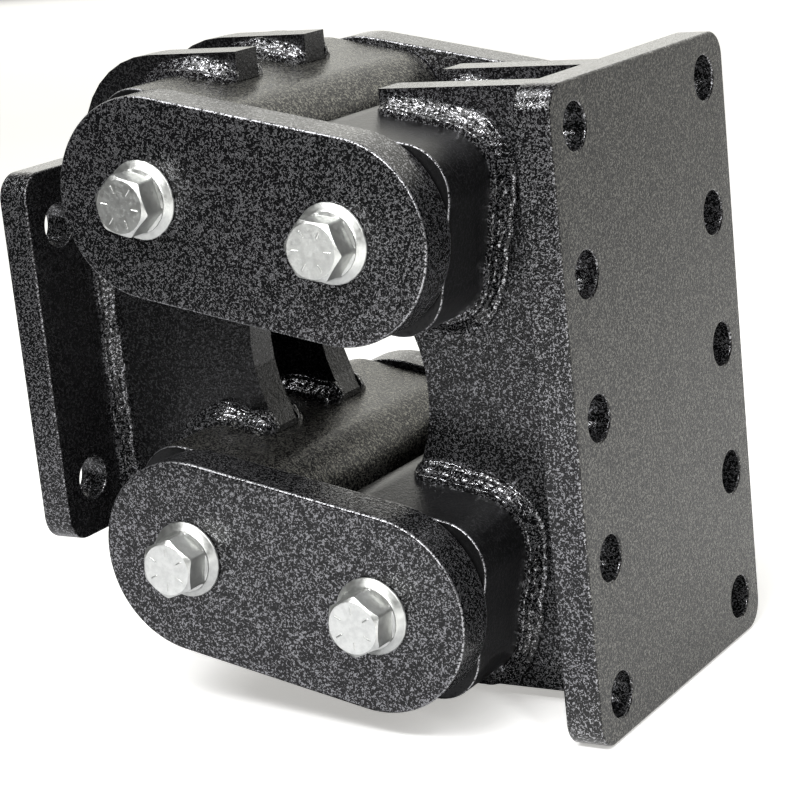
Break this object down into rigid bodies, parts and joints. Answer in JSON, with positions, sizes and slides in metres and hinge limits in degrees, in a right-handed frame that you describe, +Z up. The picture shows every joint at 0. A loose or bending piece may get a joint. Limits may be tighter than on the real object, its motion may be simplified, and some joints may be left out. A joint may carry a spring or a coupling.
{
  "type": "hitch suspension unit",
  "caption": "Rubber-torsion parallelogram hitch suspension unit: two drilled mounting plates joined by pivoting link plates on square torsion tubes.",
  "frame": {"origin": "centre of the front mounting plate's outer face", "axes": "+X forward, out of the front plate's outer face; +Z up along the plate; right side is -Y"},
  "size_m": [0.2984, 0.2504, 0.3074],
  "materials": {
    "textured_paint": "glossy black hammertone powder coat with fine grey vein flecks",
    "painted_weld": "glossy black powder coat over lumpy weld beads",
    "bar_steel": "plain rolled steel",
    "rubber": "matt moulded rubber",
    "bright_zinc": "bright zinc plating, satin"
  },
  "bodies": {
    "front_frame": {"front_lower_cord_1": "rubber", "front_lower_cord_2": "rubber", "front_lower_cord_3": "rubber", "front_lower_cord_4": "rubber", "front_lower_tube": "textured_paint", "front_lower_tube_weld_left": "painted_weld", "front_lower_tube_weld_right": "painted_weld", "front_plate": "textured_paint", "front_plate_weld_left": "painted_weld", "front_plate_weld_right": "painted_weld", "front_upper_cord_1": "rubber", "front_upper_cord_2": "rubber", "front_upper_cord_3": "rubber", "front_upper_cord_4": "rubber", "front_upper_tube": "textured_paint", "front_upper_tube_weld_left": "painted_weld", "front_upper_tube_weld_right": "painted_weld", "front_web_left": "textured_paint", "front_web_right": "textured_paint"},
    "upper_link": {"upper_link_right": "textured_paint", "upper_link_left": "textured_paint", "front_upper_bar": "bar_steel", "rear_upper_bar": "bar_steel", "front_upper_bolt_right": "bright_zinc", "front_upper_bolt_left": "bright_zinc", "rear_upper_bolt_right": "bright_zinc", "rear_upper_bolt_left": "bright_zinc"},
    "lower_link": {"lower_link_right": "textured_paint", "lower_link_left": "textured_paint", "front_lower_bar": "bar_steel", "rear_lower_bar": "bar_steel", "front_lower_bolt_right": "bright_zinc", "front_lower_bolt_left": "bright_zinc", "rear_lower_bolt_right": "bright_zinc", "rear_lower_bolt_left": "bright_zinc"},
    "rear_frame": {"rear_lower_cord_1": "rubber", "rear_lower_cord_2": "rubber", "rear_lower_cord_3": "rubber", "rear_lower_cord_4": "rubber", "rear_lower_tube": "textured_paint", "rear_lower_tube_weld_left": "painted_weld", "rear_lower_tube_weld_right": "painted_weld", "rear_plate": "textured_paint", "rear_plate_weld_left": "painted_weld", "rear_plate_weld_right": "painted_weld", "rear_upper_cord_1": "rubber", "rear_upper_cord_2": "rubber", "rear_upper_cord_3": "rubber", "rear_upper_cord_4": "rubber", "rear_upper_tube": "textured_paint", "rear_upper_tube_weld_left": "painted_weld", "rear_upper_tube_weld_right": "painted_weld", "rear_web_left": "textured_paint", "rear_web_right": "textured_paint"}
  },
  "joints": [
    {"name": "upper_link_pivot", "type": "hinge", "parent": "front_frame", "child": "upper_link", "pos_m": [-0.1005, 0, 0.08485], "axis": [0, -1, 0], "range_deg": [-6, 25], "stiffness_Nm_per_rad": 4000, "deforming": ["front_upper_cord_1", "front_upper_cord_2", "front_upper_cord_3", "front_upper_cord_4"]},
    {"name": "lower_link_pivot", "type": "hinge", "parent": "front_frame", "child": "lower_link", "pos_m": [-0.1005, 0, -0.08485], "axis": [0, -1, 0], "range_deg": [-6, 25], "deforming": ["front_lower_cord_1", "front_lower_cord_2", "front_lower_cord_3", "front_lower_cord_4"]},
    {"name": "rear_frame_pivot", "type": "hinge", "parent": "upper_link", "child": "rear_frame", "pos_m": [-0.19915, 0, 0.10403], "axis": [0, -1, 0], "range_deg": [-25, 6], "deforming": ["rear_upper_cord_1", "rear_upper_cord_2", "rear_upper_cord_3", "rear_upper_cord_4", "rear_lower_cord_1", "rear_lower_cord_2", "rear_lower_cord_3", "rear_lower_cord_4"]}
  ],
  "couplings": [
    {"joint": "lower_link_pivot", "follows": "upper_link_pivot", "ratio": 1},
    {"joint": "rear_frame_pivot", "follows": "upper_link_pivot", "ratio": -1}
  ]
}
